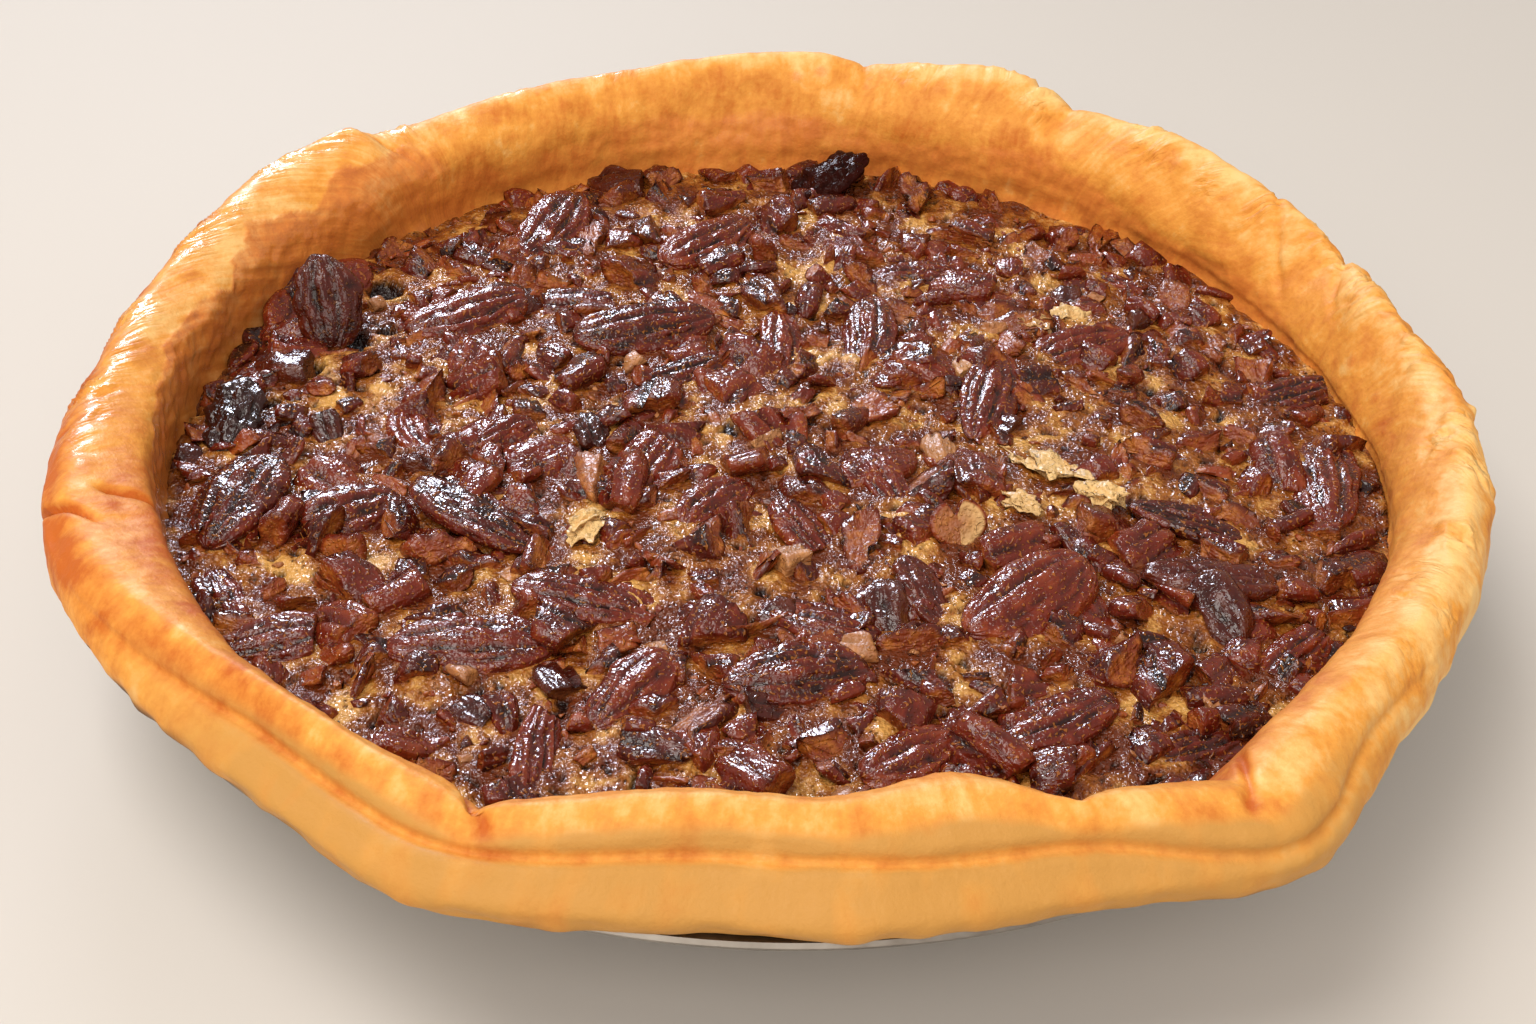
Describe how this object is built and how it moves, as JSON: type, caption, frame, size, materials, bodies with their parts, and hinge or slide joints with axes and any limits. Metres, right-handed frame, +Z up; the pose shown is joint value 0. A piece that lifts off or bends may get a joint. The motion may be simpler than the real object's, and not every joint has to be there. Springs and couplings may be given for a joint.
{
  "type": "pecan pie",
  "caption": "Whole baked pecan pie in its plain metal dish, with a hand-folded golden pastry rim and dark pecans set in a pale brown custard.",
  "frame": {"origin": "centre of the dish's flat underside", "axes": "+Z up out of the pie, -Y towards the side shown at the front, +X to its right"},
  "size_m": [0.2541, 0.256, 0.0574],
  "materials": {
    "dish_metal": "plain pressed sheet, a little dull",
    "pastry": "golden baked pastry, egg-washed along part of its rim",
    "custard": "baked sugar and egg filling, porous and sticky",
    "pecan_skin": "roasted pecan skin under a thin glaze",
    "burnt_pecan": "pecans burnt nearly black",
    "bare_nut": "pale nut meat without its skin"
  },
  "bodies": {
    "root": {"dish": "dish_metal", "crust": "pastry", "filling": "custard", "pecan_half_01": "pecan_skin", "pecan_half_02": "pecan_skin", "pecan_half_03": "pecan_skin", "pecan_half_04": "pecan_skin", "pecan_half_05": "pecan_skin", "pecan_half_06": "pecan_skin", "pecan_half_07": "pecan_skin", "pecan_half_08": "pecan_skin", "pecan_half_09": "pecan_skin", "pecan_half_10": "pecan_skin", "pecan_half_11": "pecan_skin", "pecan_half_12": "pecan_skin", "pecan_half_13": "pecan_skin", "pecan_half_14": "pecan_skin", "pecan_half_15": "pecan_skin", "pecan_half_16": "pecan_skin", "pecan_half_17": "pecan_skin", "pecan_half_18": "pecan_skin", "pecan_half_19": "pecan_skin", "pecan_half_20": "pecan_skin", "pecan_half_21": "pecan_skin", "pecan_half_22": "pecan_skin", "pecan_half_23": "pecan_skin", "pecan_half_24": "pecan_skin", "pecan_half_25": "pecan_skin", "pecan_half_26": "pecan_skin", "pecan_half_27": "pecan_skin", "pecan_half_28": "pecan_skin", "pecan_piece_01": "pecan_skin", "pecan_piece_02": "pecan_skin", "pecan_piece_03": "pecan_skin", "pecan_piece_04": "pecan_skin", "pecan_piece_05": "pecan_skin", "pecan_piece_06": "pecan_skin", "pecan_piece_07": "pecan_skin", "pecan_piece_08": "pecan_skin", "pecan_piece_09": "pecan_skin", "pecan_piece_10": "pecan_skin", "pecan_piece_11": "pecan_skin", "burnt_pecan_01": "burnt_pecan", "burnt_pecan_02": "burnt_pecan", "burnt_pecan_03": "burnt_pecan", "burnt_pecan_04": "burnt_pecan", "burnt_pecan_05": "burnt_pecan", "nut_flake_01": "bare_nut", "nut_flake_02": "bare_nut", "nut_flake_03": "bare_nut"}
  },
  "joints": []
}
